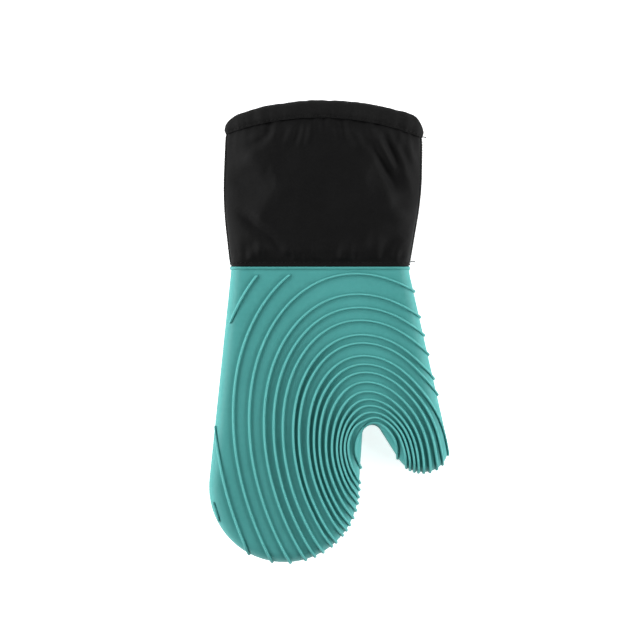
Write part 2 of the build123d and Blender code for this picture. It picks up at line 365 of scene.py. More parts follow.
def mitt_solid(name, inset, end_y, spacing=FILL_SPACING):
    """The mitt's closed rounded block up to a height y, all its faces moved in by an inset."""
    angles = np.linspace(0, math.pi / 2, EDGE_STEPS)
    zones = np.maximum(edge_zone(EDGE_POINTS) - inset, THINNEST_ZONE)
    half = HALF_THICKNESS - inset
    heights = half * np.sin(angles)**(2 / EDGE_POWER)
    normals = outward(EDGE_HEADINGS)
    columns = len(EDGE_POINTS)
    rings = [EDGE_POINTS - normals * (inset + zones * (1 - share))[:, None]
             for share in np.cos(angles)**(2 / EDGE_POWER)]
    level = rings[-1]
    low, high = level.min(0), level.max(0)
    grid = []
    for row, y in enumerate(np.arange(low[1], high[1], spacing * ROW_PITCH)):
        shift = spacing / 2 if row % 2 else 0.0
        grid += [(x + shift, y) for x in np.arange(low[0], high[0], spacing)]
    grid = np.array(grid)
    depth, _, zone = edge_distance(grid)
    grid = grid[(depth > zone + spacing / 2) & (grid[:, 1] < PAST_MOUTH_Y - spacing)]
    flat = [Vector(p) for p in np.vstack([level, grid])]
    filled = delaunay_2d_cdt(flat, [], [list(range(columns))], 1, 1e-6)
    fill_points, _, fill_faces, sources = filled[:4]
    place_of = {index: given[0] for index, given in enumerate(sources) if given and given[0] < columns}

    points = [(x, y, height) for ring, height in zip(rings, heights) for x, y in ring]
    last_ring = len(points) - columns
    faces = [(here, here + 1, here + columns + 1, here + columns)
             for here in range(last_ring) if (here + 1) % columns]
    number = []
    for index, (x, y) in enumerate(fill_points):
        on_ring = index in place_of
        number.append(last_ring + place_of[index] if on_ring else len(points))
        if not on_ring:
            points.append((x, y, half))
    faces += [tuple(number[i] for i in face) for face in fill_faces]

    # The lower half mirrors the upper one, and they share the ring at half height.
    shift = len(points) - columns
    faces += [tuple(i if i < columns else i + shift for i in reversed(face)) for face in faces]
    points += [(x, y, -z) for x, y, z in points[columns:]]
    points = [(x, y, MID_Z + z) for x, y, z in points]
    made = new_object(name, points, faces)
    return cut_across(made, end_y)


def skin_rings(start, stations, width, closed, faces):
    """Adds the faces of a tube made of equal rings, and its two ends unless it is a loop."""
    for station in range(stations if closed else stations - 1):
        here = start + station * width
        there = start + (station + 1) % stations * width
        for k in range(width):
            beside = (k + 1) % width
            faces.append((here + k, here + beside, there + beside, there + k))
    if not closed:
        faces.append(tuple(start + k for k in reversed(range(width))))
        faces.append(tuple(start + (stations - 1) * width + k for k in range(width)))


# ---- Ribs ----
def rib_line(radii):
    """A rib's centre line, finely divided."""
    bearing = np.linspace(BEARINGS[0], LAST_BEARING, RIB_POINTS)
    radius = smooth_curve(BEARINGS, radii, bearing)
    angle = np.radians(bearing)
    return RIPPLE_CENTRE + np.stack([radius * np.sin(angle), radius * np.cos(angle)], axis=1)


def rib_lines():
    """All ribs' centre lines, the innermost first."""
    lines = [rib_line(CROTCH_CURVE)]
    for apex in RIB_APEXES:
        share = (apex - INNER_APEX) / (OUTER_APEX - INNER_APEX)
        lines.append(rib_line([i + share * (o - i) for i, o in zip(INNER_CURVE, OUTER_CURVE)]))
    return lines


def end_refined(line, first, last, wraps):
    """Part of a line, with points that crowd towards the ends that wrap round the edge."""
    inner = line[first:last + 1]
    if wraps[0]:
        inner = crossing_refined(line[first - 1], inner)
    if wraps[1]:
        inner = crossing_refined(line[last + 1], inner[::-1])[::-1]
    return inner


def crossing_refined(outside, inner):
    """A line from just inside the outline, begun on the outline instead, with crowded points."""
    depths = edge_distance([outside, inner[0]])[0]
    crossing = outside + (inner[0] - outside) * (-depths[0] / (depths[1] - depths[0]))
    direction = unit(inner[1] - crossing)
    kept = inner[np.linalg.norm(inner - crossing, axis=1) > CROWDED_END]
    return np.vstack([crossing + direction * distance for distance in CROWDED] + [kept])


def on_face(flat, side):
    """Points of a flat line put on the mitt's face, and the directions in which a rib stands there."""
    depth, direction, zone = edge_distance(flat)
    height, slope = section(np.clip(depth, 0, None), zone)
    places = np.column_stack([flat, MID_Z + side * height])
    along = unit(np.gradient(flat, axis=0))
    tilt = direction * slope[:, None]
    along_line = along * (tilt * along).sum(1)[:, None]
    tilt = along_line + (tilt - along_line) * RIB_LEAN
    return places, unit(np.column_stack([tilt, np.full(len(flat), float(side))]))


def respaced(places, normals, closed):
    """Stations along a path, closer together where it bends."""
    if closed:
        places = np.vstack([places, places[:1]])
        normals = np.vstack([normals, normals[:1]])
    keep = np.concatenate([[True], np.linalg.norm(np.diff(places, axis=0), axis=1) > 1e-5])
    places, normals = places[keep], normals[keep]
    along = lengths_along(places)
    even = np.linspace(0, along[-1], max(16, int(along[-1] / RIB_SAMPLE)))
    heading = np.gradient(read_path(even, along, places), even, axis=0)
    bend = np.linalg.norm(np.gradient(heading, even, axis=0), axis=1)
    bend = np.convolve(np.pad(bend, 3, mode="edge"), np.ones(7) / 7, mode="valid")
    step = np.clip(RIB_TURN / np.maximum(bend, 1e-4), *RIB_STEPS)
    if not closed:
        step = np.where(np.minimum(even, even[-1] - even) < RIB_TAPER + 1, RIB_END_STEP, step)
    count = np.concatenate([[0], np.cumsum(np.diff(even) / step[1:])])
    total = max(6, round(count[-1]))
    at = np.interp(np.arange(total + (0 if closed else 1)) / total * count[-1], count, even)
    return read_path(at, along, places), read_path(at, along, normals), at


def rib_tube(places, normals, closed, flank, crest, points, faces):
    """Adds a rib's tube along a path on the mitt's surface to a mesh being built."""
    places, normals, along = respaced(places, normals, closed)
    if closed:
        headings = np.roll(places, -1, axis=0) - np.roll(places, 1, axis=0)
        share = np.ones(len(places))
    else:
        headings = np.gradient(places, axis=0)
        share = smoothstep(np.minimum(along, along[-1] - along) / RIB_TAPER)
    headings = unit(headings)
    normals = unit(normals - (normals * headings).sum(1)[:, None] * headings)
    across = np.cross(headings, normals)
    profile = flank + [(0.0, crest)] + [(-out, up) for out, up in flank[::-1]]
    start = len(points)
    for place, normal, side, grown in zip(places, normals, across, share):
        steep = 1 - abs(normal[2])
        spread = (RIB_END_WIDTH + (1 - RIB_END_WIDTH) * grown) * (1 + WALL_SPREAD * steep)
        for out, up in profile:
            up = up * (1 - WALL_DROP * steep) if up > 0 else up
            rise = RIB_ROOT + (up - RIB_ROOT) * grown - (1 - grown) * RIB_END_DROP
            points.append(place + side * out * spread + normal * rise)
    skin_rings(start, len(places), len(profile), closed, faces)


def add_rib(flat, wraps, flank, crest, points, faces):
    """Adds a rib over a flat line: over the palm, round the edge where it wraps, and over the back."""
    palm, back = on_face(flat, 1), on_face(flat[::-1], -1)
    if wraps[1]:
        runs = [(palm, back)]
    elif wraps[0]:
        runs = [(back, palm)]
    else:
        runs = [(palm,), (back,)]
    for run in runs:
        places = np.vstack([part[0] for part in run])
        normals = np.vstack([part[1] for part in run])
        rib_tube(places, normals, all(wraps), flank, crest, points, faces)


def in_bare_patch(line):
    """Which points of a line lie where there are no ribs."""
    x, y = line[:, 0], line[:, 1]
    return np.any([(x > x_from) & (x < x_to) & (y > y_from) & (y < y_to)
                   for (x_from, x_to), (y_from, y_to) in BARE_PATCHES], axis=0)


def shown_runs(line, top_y):
    """The parts of a line that carry a rib, and whether it wraps round the edge at their ends."""
    depth, direction, _ = edge_distance(line)
    squareness = np.abs((unit(np.gradient(line, axis=0)) * direction).sum(1))
    shown = (depth > 0) & (line[:, 1] < top_y) & ~in_bare_patch(line)
    starts = np.flatnonzero(shown & ~np.roll(shown, 1))
    ends = np.flatnonzero(shown & ~np.roll(shown, -1))
    runs = []
    for first, last in zip(starts, ends):
        wraps = []
        for end, beyond in ((first, first - 1), (last, last + 1)):
            at_outline = 0 <= beyond < len(line) and depth[beyond] <= 0
            wraps.append(bool(at_outline and squareness[end] > WRAP_TURN))
        while not wraps[0] and depth[first] < END_DEPTH:
            first += 1
        while not wraps[1] and depth[last] < END_DEPTH:
            last -= 1
        runs.append((end_refined(line, first, last, wraps), wraps))
    return runs


def rib_mesh():
    """Every rib, and the raised rim at the silicone's end."""
    points, faces = [], []
    for line in rib_lines():
        for flat, wraps in shown_runs(line, RIB_TOP_Y):
            add_rib(flat, wraps, RIB_FLANK, RIB_HEIGHT, points, faces)
    x = np.linspace(-RIM_REACH, RIM_REACH, 200)
    for flat, wraps in shown_runs(np.column_stack([x, np.full(len(x), RIM_Y)]), WRIST_Y):
        add_rib(flat, wraps, RIM_FLANK, RIM_HEIGHT, points, faces)
    return reworked(new_object("ribs", points, faces))


def store_rise(shell):
    """Stores how far each point of the shell stands out of the skin, in millimetres."""
    places = np.empty(len(shell.data.vertices) * 3)
    shell.data.vertices.foreach_get("co", places)
    places = places.reshape(-1, 3) / MM
    depth, _, zone = edge_distance(places[:, :2])
    height, slope = section(np.clip(depth, 0, None), zone)
    above = (np.abs(places[:, 2] - MID_Z) - height) / np.hypot(1, slope)
    layer = shell.data.attributes.new("rise", "FLOAT", "POINT")
    layer.data.foreach_set("value", np.where(depth < 0, -depth, above).astype(np.float32))


def silicone_shell():
    """One hollow moulding: skin, flange under the cuff, and ribs."""
    shell = mitt_solid("silicone_shell", 0.0, WRIST_Y)
    flange = mitt_solid("flange", FLANGE_DEPTH, FLANGE_END_Y)
    cut_across(flange, FLANGE_START_Y, keep_below=False)
    boolean(shell, flange, "UNION")
    boolean(shell, rib_mesh(), "UNION")
    boolean(shell, mitt_solid("hollow", SKIN, FLANGE_END_Y + PAST_END), "DIFFERENCE")
    store_rise(shell)
    return smooth(shell, SILICONE_CREASE)


# ---- Cuff: shared surface ----
PILLOW_LENGTH = 70.0  # from the wrist to where the cuff is fully rounded
PILLOW_ZONE = 40.0
PILLOW_POWER = 0.85
CROWN = 2.0  # the padded cuff swells this much in its middle
REST_Z = 0.3  # the fabric lies flat on what it rests on
MOUTH_CORNER = 8.0
SECTION_POINTS = 24  # in one rounded edge of its section
NEAR_BINDING_Y = 160.0  # where a share's place along the bows is read
SIDES_FROM_Y = 30.0  # the outline's two sides beside the cuff begin here


def side_line(sign):
    """The outline beside the cuff, from low to high."""
    points = FINE_POINTS[(FINE_POINTS[:, 1] > SIDES_FROM_Y) & (FINE_POINTS[:, 0] * sign > 0)]
    return points[np.argsort(points[:, 1])]


LEFT_SIDE, RIGHT_SIDE = side_line(-1), side_line(1)


def side_x(y):
    """Where the outline passes at a height, left and right."""
    left = np.interp(y, LEFT_SIDE[:, 1], LEFT_SIDE[:, 0])
    return left, np.interp(y, RIGHT_SIDE[:, 1], RIGHT_SIDE[:, 0])


def cuff_point(share, y, inset=0.0):
    """A point of the cuff's skin, moved inwards. Share 0 is its right side, 0.25 the palm's middle."""
    left, right = side_x(y)
    grown = smoothstep((y - WRIST_Y) / PILLOW_LENGTH)
    zone = EDGE_ZONE + PILLOW_ZONE * grown - inset
    power = EDGE_POWER - PILLOW_POWER * grown
    angle = np.linspace(0, math.pi / 2, SECTION_POINTS)
    edge_x = zone * (1 - np.cos(angle)**(2 / power))
    edge_z = (HALF_THICKNESS - inset) * np.sin(angle)**(2 / power)
    x = np.concatenate([right - inset - edge_x, (left + inset + edge_x)[::-1]])
    z = np.concatenate([edge_z, edge_z[::-1]])
    along = np.concatenate([[0], np.cumsum(np.hypot(np.diff(x), np.diff(z)))])
    turn = share % 1.0
    palm = turn <= 0.5
    at = (turn if palm else 1 - turn) * 2 * along[-1]
    x, z = np.interp(at, along, x), np.interp(at, along, z)
    middle, half = (left + right) / 2, (right - left) / 2
    z *= 1 + CROWN / HALF_THICKNESS * grown * max(0.0, 1 - ((x - middle) / half)**2)
    if not palm:
        z = min(z, MID_Z - REST_Z - inset)
    return np.array((x, y, MID_Z + (z if palm else -z)))


def mouth_y(x):
    """The mouth's edge: a bow with rounded corners."""
    left, right = MOUTH_BOW[0][0], MOUTH_BOW[2][0]
    corner = np.clip(MOUTH_CORNER - np.minimum(x - left, right - x), 0, MOUTH_CORNER)
    return bow_y(MOUTH_BOW, x) - MOUTH_CORNER + np.sqrt(MOUTH_CORNER**2 - corner**2)


def cuff_y(share, level):
    """Height on the cuff: level 0 is the wrist, 1 the binding's lower edge and 2 the mouth."""
    x = cuff_point(share, NEAR_BINDING_Y)[0]
    binding = float(bow_y(BINDING_BOW, x))
    if level <= 1:
        return WRIST_Y + (binding - WRIST_Y) * level
    return binding + (float(mouth_y(x)) - binding) * (level - 1)


def cuff_grid(levels, columns, insets=0.0):
    """Rows of points round the cuff, one row at each level."""
    shares = np.arange(columns) / columns
    rows = zip(levels, np.broadcast_to(insets, len(levels)))
    return np.array([[cuff_point(share, cuff_y(share, level), inset) for share in shares]
                     for level, inset in rows])


def turns(grid):
    """How far round the cuff each point of a grid lies, as a share."""
    rows, columns = grid.shape[:2]
    return np.broadcast_to(np.arange(columns) / columns, (rows, columns))


def grid_normals(grid):
    """Outward directions at the points of a grid that goes all round."""
    around = np.roll(grid, -1, axis=1) - np.roll(grid, 1, axis=1)
    normals = np.cross(np.gradient(grid, axis=0), around)
    return normals / np.maximum(np.linalg.norm(normals, axis=2), 1e-9)[:, :, None]


def doubled(padded):
    """Rows with a new one between every two, from the same rows with one more at each end."""
    fine = np.empty((len(padded) * 2 - 5, *padded.shape[1:]))
    fine[0::2] = padded[1:-1]
    fine[1::2] = (9 * (padded[1:-2] + padded[2:-1]) - padded[:-3] - padded[3:]) / 16
    return fine


def refined(grid):
    """The same closed surface with twice as many rows and columns."""
    turned = grid.swapaxes(0, 1)
    wide = doubled(np.concatenate([turned[-1:], turned, turned[:2]]))[:-1].swapaxes(0, 1)
    return doubled(np.concatenate([2 * wide[:1] - wide[1:2], wide, 2 * wide[-1:] - wide[-2:-1]]))


HEM_BULGE = 0.25  # how far a piece's rounded end stands out, of a row's height


def fabric_piece(name, outer, inner, closed=True):
    """A piece of fabric with rounded ends between an outer and an inner grid, as one closed mesh.

    Its map is named cloth and gives metres round and along the piece.
    """
    rows, columns = outer.shape[:2]
    lower = (outer[0] + inner[0]) / 2 - (outer[1] - outer[0]) * HEM_BULGE
    upper = (outer[-1] + inner[-1]) / 2 + (outer[-1] - outer[-2]) * HEM_BULGE
    loop = np.concatenate([outer, upper[None], inner[::-1], lower[None]])
    count = len(loop)
    heights = [*range(rows), rows, *reversed(range(rows)), -1]
    wide = np.linalg.norm(np.roll(outer, -1, axis=1) - outer, axis=2)[:, :-1].mean() * MM
    tall = np.linalg.norm(np.diff(outer, axis=0), axis=2).mean() * MM
    faces, maps = [], []

    def add(corners):
        faces.append(tuple(row % count * columns + column % columns for row, column in corners))
        maps.extend((column * wide, heights[row % count] * tall) for row, column in corners)

    for row in range(count):
        for column in range(columns if closed else columns - 1):
            add(((row, column), (row + 1, column), (row + 1, column + 1), (row, column + 1)))
    for column in () if closed else (0, columns - 1):
        ends = [(row, row + 1, count - 3 - row, count - 2 - row) for row in range(rows - 1)]
        ends += [(row, row + 1, row + 2) for row in (count - 2, rows - 1)]
        for end in ends:
            add([(row, column) for row in (end if column else end[::-1])])
    made = new_object(name, loop.reshape(-1, 3), faces)
    layer = made.data.uv_layers.new(name="cloth")
    layer.data.foreach_set("uv", np.array(maps, np.float32).ravel())
    return smooth(made)


# Settings of the simulation that puffs up the cuff.
CLOTH = {
    "quality": 6,
    "mass": 0.15,
    "vertex_group_mass": "pinned",
    "use_pressure": True,
    "uniform_pressure_force": 4.0,
    "shrink_min": -0.03,
    "tension_stiffness": 20,
    "compression_stiffness": 20,
    "bending_stiffness": 0.08,
}
CLOTH_STEPS = 20
CLOTH_CAP = 3.5  # most that a point of it moves
CALMING_PASSES = 6


def calmed(shift, pinned):
    """A closed grid of movements with its small sharp creases smoothed away."""
    for _ in range(CALMING_PASSES):
        shift = (2 * shift + np.roll(shift, 1, axis=1) + np.roll(shift, -1, axis=1)) / 4
        shift[1:-1] = (2 * shift[1:-1] + shift[:-2] + shift[2:]) / 4
        shift[pinned] = 0
    return shift


def inflate(grid, pinned):
    """A closed grid of cloth blown up between its pinned points."""
    rows, columns = grid.shape[:2]
    faces = [(r * columns + c, (r + 1) * columns + c,
              (r + 1) * columns + (c + 1) % columns, r * columns + (c + 1) % columns)
             for r in range(rows - 1) for c in range(columns)]
    bag = new_object("inflated", grid.reshape(-1, 3), faces)
    group = bag.vertex_groups.new(name="pinned")
    group.add([int(i) for i in np.flatnonzero(pinned.ravel())], 1.0, "REPLACE")
    settings = bag.modifiers.new("cloth", "CLOTH").settings
    for key, value in CLOTH.items():
        setattr(settings, key, value)
    settings.effector_weights.gravity = 0
    scene = bpy.context.scene
    for step in range(1, CLOTH_STEPS + 1):
        scene.frame_set(step)
    blown = bag.evaluated_get(bpy.context.evaluated_depsgraph_get())
    shape = blown.to_mesh()
    moved = np.empty(len(shape.vertices) * 3)
    shape.vertices.foreach_get("co", moved)
    blown.to_mesh_clear()
    bpy.data.objects.remove(bag)
    scene.frame_set(1)
    shift = calmed(moved.reshape(grid.shape) / MM - grid, pinned)
    size = np.linalg.norm(shift, axis=2)[:, :, None]
    return grid + shift * np.minimum(1, CLOTH_CAP / np.maximum(size, 1e-6))


# ---- Cuff: outer fabric ----
CUFF_COLUMNS = 116
CUFF_ROWS = 38
CUFF_OVERLAP = 0.025  # of the cuff's length, hidden under the binding
FABRIC_THICKNESS = 0.9
WRIST_STITCH_Y = WRIST_Y + 3.6
# Depth and half width of the valley at the wrist's stitches, and of the one beside the binding.
WRIST_VALLEY = (0.5, 1.6)
BINDING_VALLEY = (0.5, 2.5)
# Where folds and rumples fade: from the wrist, from this far past the binding's edge and over
# this length, and from a side seam as a share of the face.
FOLD_FADE = (4.0, 4.0, 6.0, 0.08)
RUMPLE_FADE = (7.0, 2.0, 8.0, 0.10)
PUCKER_FADE = 0.06  # the same share for the puckers
# Size and height of small unevenness, and its seed.
CUFF_RUMPLES = [(34.0, 1.76, 1), (11.0, 0.56, 2)]
STRIP_RUMPLES = [(16.0, 0.56, 9), (4.5, 0.192, 10)]
# Puckers along seams: waves round the cuff, height, reach from the seam, and seed.
WRIST_PUCKERS = ((29, 37, 46), 0.55, 11.0, 3)
BINDING_PUCKERS = ((23, 31, 40), 0.65, 13.0, 4)
STITCH_PUCKERS = ((95, 110), 0.12, 2.5, 5)
STRIP_PUCKERS = [((17, 26, 35), 0.5, 12.0, 7), ((70, 88), 0.16, 6.0, 8)]
FOLD_STRENGTH = 1.45
FOLD_POINTS = 25
FOLD_END = 0.04  # a fold is this share of its length short of fading out at its ends
FOLD_TAPER = 0.7
FOLD_TROUGH = 0.45

# Folds on the palm face: x and y of the start, the middle and the end, height and half width.
PALM_FOLDS = [
    (-18.5, 168, -20, 157, -23.5, 146, 1.5, 3.2),
    (-27.5, 166, -30, 158, -34, 149, 1, 3),
    (-40, 164, -45, 158, -52, 152, 0.9, 4),
    (16.5, 167.5, 20, 157, 27.5, 145, 1.5, 4.2),
    (5, 168.5, 7, 161, 9, 153, 0.8, 3.2),
    (36, 158, 42, 146, 52, 128, 1.6, 3.8),
    (50, 151, 58, 134, 65.5, 112, 1.7, 4.4),
    (60, 151, 66, 140, 69, 126, 1.1, 3.6),
    (-75, 98, -52, 79, -30, 56.5, -1.9, 4.4),
    (10, 57, 13, 63, 17, 72, 1.4, 4.6),
    (34, 57.5, 38, 68, 36, 82, 1.5, 5.6),
    (50, 58, 55, 66, 62, 74, 1.5, 4.6),
    (40, 93, 51, 95, 63, 88, 1.4, 5.6),
    (-62, 58, -57, 64, -50, 71, 1.3, 4.2),
    (-66, 141, -58, 136, -48, 131, 1.5, 7),
    (-45, 162, -54, 152, -66, 147.5, -1.2, 3.2),
    (36, 149, 45, 131, 54, 113, -1.6, 3),
    (42, 160, 52, 141, 57, 130, -1.3, 2.6),
    (44, 116, 47, 106, 50, 98, 1.4, 5),
    (-10, 57, -12, 62, -11, 68, 0.8, 3.4),
    (-37, 57, -36, 62, -32, 67, 0.7, 3.2),
]
# The same on the back face.
BACK_FOLDS = [
    (-30, 167, -26, 156, -18, 143, 1.4, 4),
    (8, 168, 6, 158, 10, 148, 1.1, 3.4),
    (38, 163, 43, 152, 52, 141, 1.2, 4.2),
    (-72, 120, -55, 104, -42, 82, 1.6, 5.4),
    (62, 92, 44, 78, 24, 57, -1.6, 4.8),
    (-52, 57, -48, 66, -40, 76, 1.3, 4.6),
    (-14, 57, -10, 66, -12, 78, 1.2, 4.8),
    (40, 118, 54, 110, 66, 98, 1.4, 5.6),
]


def fold_rise(x, y, fold):
    """How far a fold lifts the fabric: a ridge with a shallow trough on either side."""
    start, middle, end = np.reshape(fold[:6], (3, 2))
    height, width = fold[6:]
    share = np.linspace(0, 1, FOLD_POINTS)[:, None]
    handle = 2 * middle - (start + end) / 2
    line = start * (1 - share)**2 + 2 * handle * share * (1 - share) + end * share**2
    gap = np.hypot(x[..., None] - line[:, 0], y[..., None] - line[:, 1])
    nearest = gap.argmin(axis=-1)
    across = gap.min(axis=-1) / width
    taper = np.sin(math.pi * (share[nearest, 0] * (1 - 2 * FOLD_END) + FOLD_END))**FOLD_TAPER
    return height * taper * (1 - FOLD_TROUGH * across**2) * np.exp(-0.5 * across**2)


def rumple(points, rumples):
    """Smooth uneven heights at points, for folds too small to list one by one."""
    rise = np.zeros(points.shape[:-1])
    for size, height, seed in rumples:
        offset = Vector((seed * 17.3, seed * 5.9, seed * 11.7))
        values = [noise.noise(Vector(p) + offset) for p in points.reshape(-1, 3) / size]
        rise += np.array(values).reshape(rise.shape) * height
    return rise


def gathers(shares, distance, puckers):
    """Small puckers along a seam that die away from it."""
    waves, height, reach, seed = puckers
    rng = np.random.default_rng(seed)
    rise = np.zeros_like(shares)
    for count in waves:
        rise += np.sin(shares * 2 * math.pi * count + rng.uniform(0, 6.3)) * rng.uniform(0.6, 1.0)
    return height * rise / (len(waves) * 0.6) * np.exp(-(distance / reach)**2)


def valley(distance, size):
    """How far a seam pulls the fabric in beside it."""
    depth, width = size
    return depth * np.exp(-(distance / width)**2)


def faded(from_wrist, from_binding, edge, fade):
    """How free the fabric is, from 0 at its seams to 1 away from them."""
    wrist, past, binding, side = fade
    ends = smoothstep(from_wrist / wrist) * smoothstep((from_binding + past) / binding)
    return ends * smoothstep(edge / side)


def cuff_surface():
    """The cuff's outer face as a fine grid: padded, pulled in at its seams and folded."""
    levels = np.linspace(0, 1 + CUFF_OVERLAP, CUFF_ROWS)
    grid = cuff_grid(levels, CUFF_COLUMNS)
    pinned = np.zeros(grid.shape[:2], bool)
    pinned[:2] = pinned[-2:] = True
    pinned[:, 0] = pinned[:, CUFF_COLUMNS // 2] = True
    grid = inflate(grid, pinned)
    grid = refined(grid)
    shares = turns(grid)
    x, y = grid[:, :, 0], grid[:, :, 1]
    edge = np.minimum(shares % 0.5, 0.5 - shares % 0.5) * 2
    from_wrist, from_binding = y - WRIST_STITCH_Y, bow_y(BINDING_BOW, x) - y
    palm = shares < 0.5
    rise = np.zeros(shares.shape)
    for folds, face in ((PALM_FOLDS, palm), (BACK_FOLDS, ~palm)):
        for fold in folds:
            rise += FOLD_STRENGTH * fold_rise(x, y, fold) * face
    rise *= faded(from_wrist, from_binding, edge, FOLD_FADE)
    rise += faded(from_wrist, from_binding, edge, RUMPLE_FADE) * rumple(grid, CUFF_RUMPLES)
    free = smoothstep(edge / PUCKER_FADE)
    rise += free * gathers(shares, from_wrist, WRIST_PUCKERS) * smoothstep(from_wrist / 3)
    rise += free * gathers(shares, from_binding, BINDING_PUCKERS)
    rise += gathers(shares, from_wrist, STITCH_PUCKERS)
    rise -= valley(from_wrist, WRIST_VALLEY) + valley(from_binding, BINDING_VALLEY)
    grid = grid + grid_normals(grid) * rise[:, :, None]
    grid[:, :, 2] = np.maximum(grid[:, :, 2], REST_Z)
    return grid


def cuff_covers(surface):
    """The palm and the back panel of the cuff's outer fabric, which meet at the side seams."""
    inner = surface - grid_normals(surface) * FABRIC_THICKNESS
    half = surface.shape[1] // 2
    palm = fabric_piece("cuff_cover_palm", surface[:, :half + 1], inner[:, :half + 1], closed=False)
    around = list(range(half, 2 * half)) + [0]
    back = fabric_piece("cuff_cover_back", surface[:, around], inner[:, around], closed=False)
    return palm, back


# ---- Tubes: thread, seams ----
def tube(path, radii, sides, points, faces):
    """Adds a round closed tube along a path to a mesh being built."""
    path = np.asarray(path, float)
    radii = np.broadcast_to(radii, len(path))
    heading = unit(np.gradient(path, axis=0))
    side = np.cross(heading[0], (0.3, 0.2, 0.93))
    start = len(points)
    for place, along, radius in zip(path, heading, radii):
        side = unit(side - along * (side @ along))
        other = np.cross(along, side)
        for number in range(sides):
            turn = 2 * math.pi * number / sides
            points.append(place + radius * (math.cos(turn) * side + math.sin(turn) * other))
    skin_rings(start, len(path), sides, False, faces)


THREAD_RADIUS = 0.3
STITCH_LENGTH = 2.5
STITCH_PITCH = 3.6
STITCH_WIDTHS = (0.5, 0.85, 1, 1, 1, 0.85, 0.5)


def stitch_row(name, line, normals):
    """Stitches along a closed line on the fabric: each one dips into it at both ends."""
    line, normals = np.vstack([line, line[:1]]), np.vstack([normals, normals[:1]])
    along = lengths_along(line)
    count = round(along[-1] / STITCH_PITCH)
    points, faces = [], []
    share = np.linspace(-0.5, 0.5, len(STITCH_WIDTHS))
    lift = THREAD_RADIUS * (1.25 - 2.6 * (2 * np.abs(share))**3)
    for number in range(count):
        at = (number + 0.5) / count * along[-1] + share * STITCH_LENGTH
        path = read_path(at, along, line) + read_path(at, along, normals) * lift[:, None]
        tube(path, THREAD_RADIUS * np.array(STITCH_WIDTHS), 8, points, faces)
    return smooth(new_object(name, points, faces))


SEAM_CORE = 1.15
SEAM_STEP = 0.45
OVERLOCK_PITCH = 2.1
OVERLOCK_RADIUS = 0.26


def side_seam(name, surface, column):
    """The overlocked edge where the cuff's panels meet: a flat cord with thread wound round it."""
    line = surface[1:, column]
    along = lengths_along(line)
    at = np.linspace(0, along[-1], round(along[-1] / SEAM_STEP))
    path = read_path(at, along, line)
    turn = at / OVERLOCK_PITCH * 2 * math.pi
    points, faces = [], []
    core = path + np.outer(0.12 * np.sin(turn), (1, 0, 0))
    tube(core, SEAM_CORE * (1 + 0.10 * np.sin(turn)), 12, points, faces)
    side = np.cross(unit(np.gradient(path, axis=0)), (0, 0, 1))
    winding = side * np.cos(turn)[:, None] + np.outer(np.sin(turn), (0, 0, 1))
    tube(path + winding * SEAM_CORE, OVERLOCK_RADIUS, 6, points, faces)
    return smooth(new_object(name, points, faces))


# ---- Mouth binding ----
BINDING_COLUMNS = 300
BINDING_ROWS = 26
BINDING_HEIGHT = 14.0
BINDING_STITCH_INSET = 1.6
STITCH_VALLEY = (0.55, 1.1)
# Middle line of the folded strip: (share of its height, depth below the cuff's skin).
BINDING_FOLD = [(0.0, -0.35), (0.1, -0.75), (0.3, -1.35), (0.55, -1.5), (0.75, -0.9), (0.88, 0.6),
                (0.93, 2.6), (0.9, 4.6), (0.79, 5.9), (0.6, 6.3), (0.3, 6.2), (0.06, 5.9)]
BINDING_THICKNESS = 1.3


def binding_profile():
    """The strip's middle line, finely divided: shares of its height, and depths."""
    knots = np.linspace(0, 1, len(BINDING_FOLD))
    at = np.linspace(0, 1, BINDING_ROWS)
    return [smooth_curve(knots, axis, at) for axis in zip(*BINDING_FOLD)]


def mouth_binding():
    """The padded strip that is folded over the mouth's edge and stitched down, slightly puckered."""
    levels, depths = binding_profile()
    middle = cuff_grid(1 + levels, BINDING_COLUMNS, depths)
    normals = grid_normals(middle)
    level = np.broadcast_to(levels[:, None], middle.shape[:2])
    height = level * BINDING_HEIGHT
    pucker = sum(gathers(turns(middle), height, puckers) for puckers in STRIP_PUCKERS)
    pucker += rumple(middle, STRIP_RUMPLES) - valley(height - BINDING_STITCH_INSET, STITCH_VALLEY)
    middle = middle + normals * (pucker * np.minimum(1, level * 8 + 0.4))[:, :, None]
    lowest = 2 * THREAD_RADIUS + REST_Z
    middle[:, :, 2] = np.maximum(middle[:, :, 2], lowest + BINDING_THICKNESS / 2)
    normals = grid_normals(middle)
    outer = middle + normals * BINDING_THICKNESS / 2
    inner = middle - normals * BINDING_THICKNESS / 2
    outer[:, :, 2] = np.maximum(outer[:, :, 2], lowest)
    return fabric_piece("mouth_binding_strip", outer, inner), outer


# ---- Linings ----
QUILT = 18.0
QUILT_DEPTH = 1.5
LINING_COLUMNS = 180
LINING_ROWS = 56
LINING_INSET = 5.0
LINING_LEVELS = (-0.01, 1.55)
LINING_THICKNESS = 0.4


def quilted(first, second):
    """Puffs between two crossing sets of stitched channels, from 0 in a channel to 1."""
    return (np.abs(np.sin(math.pi * first)) * np.abs(np.sin(math.pi * second)))**0.55


def cuff_lining():
    """The quilted tube inside the cuff."""
    levels = np.linspace(*LINING_LEVELS, LINING_ROWS)
    base = cuff_grid(levels, LINING_COLUMNS, LINING_INSET)
    around = np.linalg.norm(np.roll(base[0], -1, axis=0) - base[0], axis=1).sum()
    count = round(around / QUILT)
    turn = turns(base) * count
    climb = base[:, :, 1] / (around / count)
    puff = quilted(turn + climb, turn - climb) * QUILT_DEPTH
    normals = grid_normals(base)
    outer, inner = base + normals * LINING_THICKNESS, base - normals * puff[:, :, None]
    return fabric_piece("cuff_lining_tube", outer, inner)


